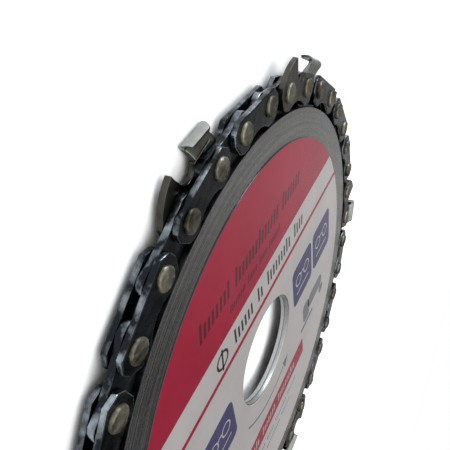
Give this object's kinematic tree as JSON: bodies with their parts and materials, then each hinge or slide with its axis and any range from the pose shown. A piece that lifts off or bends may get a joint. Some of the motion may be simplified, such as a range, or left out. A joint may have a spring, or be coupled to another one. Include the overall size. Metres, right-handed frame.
{
  "type": "angle grinder carving disc",
  "caption": "Round carving disc for an angle grinder: a captive saw chain with cutters runs round the rim of two clamped steel plates.",
  "frame": {"origin": "on the disc's axis, level with the outermost corners of the rear cutters that it rests on", "axes": "+Z along the disc's axis out of its labelled front face; +X and +Y across the disc, with +Y towards the label's coloured segment"},
  "size_m": [0.116, 0.1148, 0.0049],
  "materials": {
    "plate_steel": "brushed",
    "label_paper": "glossy printed label",
    "strap_steel": "blued and oiled",
    "drive_steel": "blued and oiled",
    "cutter_steel": "satin"
  },
  "bodies": {
    "disc": {"front_plate": "plate_steel", "rear_plate": "plate_steel", "label": "label_paper"},
    "chain": {"cutter_01": "cutter_steel", "preset_strap_01": "strap_steel", "drive_link_01": "drive_steel", "tie_link_02": "strap_steel", "drive_link_02": "drive_steel", "tie_link_03": "strap_steel", "drive_link_03": "drive_steel", "tie_link_04": "strap_steel", "drive_link_04": "drive_steel", "cutter_05": "cutter_steel", "preset_strap_05": "strap_steel", "drive_link_05": "drive_steel", "tie_link_06": "strap_steel", "drive_link_06": "drive_steel", "cutter_07": "cutter_steel", "preset_strap_07": "strap_steel", "drive_link_07": "drive_steel", "tie_link_08": "strap_steel", "drive_link_08": "drive_steel", "cutter_09": "cutter_steel", "preset_strap_09": "strap_steel", "drive_link_09": "drive_steel", "tie_link_10": "strap_steel", "drive_link_10": "drive_steel", "cutter_11": "cutter_steel", "preset_strap_11": "strap_steel", "drive_link_11": "drive_steel", "tie_link_12": "strap_steel", "drive_link_12": "drive_steel", "cutter_13": "cutter_steel", "preset_strap_13": "strap_steel", "drive_link_13": "drive_steel", "tie_link_14": "strap_steel", "drive_link_14": "drive_steel", "cutter_15": "cutter_steel", "preset_strap_15": "strap_steel", "drive_link_15": "drive_steel", "tie_link_16": "strap_steel", "drive_link_16": "drive_steel", "cutter_17": "cutter_steel", "preset_strap_17": "strap_steel", "drive_link_17": "drive_steel", "tie_link_18": "strap_steel", "drive_link_18": "drive_steel", "cutter_19": "cutter_steel", "preset_strap_19": "strap_steel", "drive_link_19": "drive_steel", "tie_link_20": "strap_steel", "drive_link_20": "drive_steel"}
  },
  "joints": [
    {"name": "chain_slip", "type": "hinge", "parent": "disc", "child": "chain", "pos_m": [0, 0, 0.00245], "axis": [0, 0, 1], "continuous": true}
  ]
}
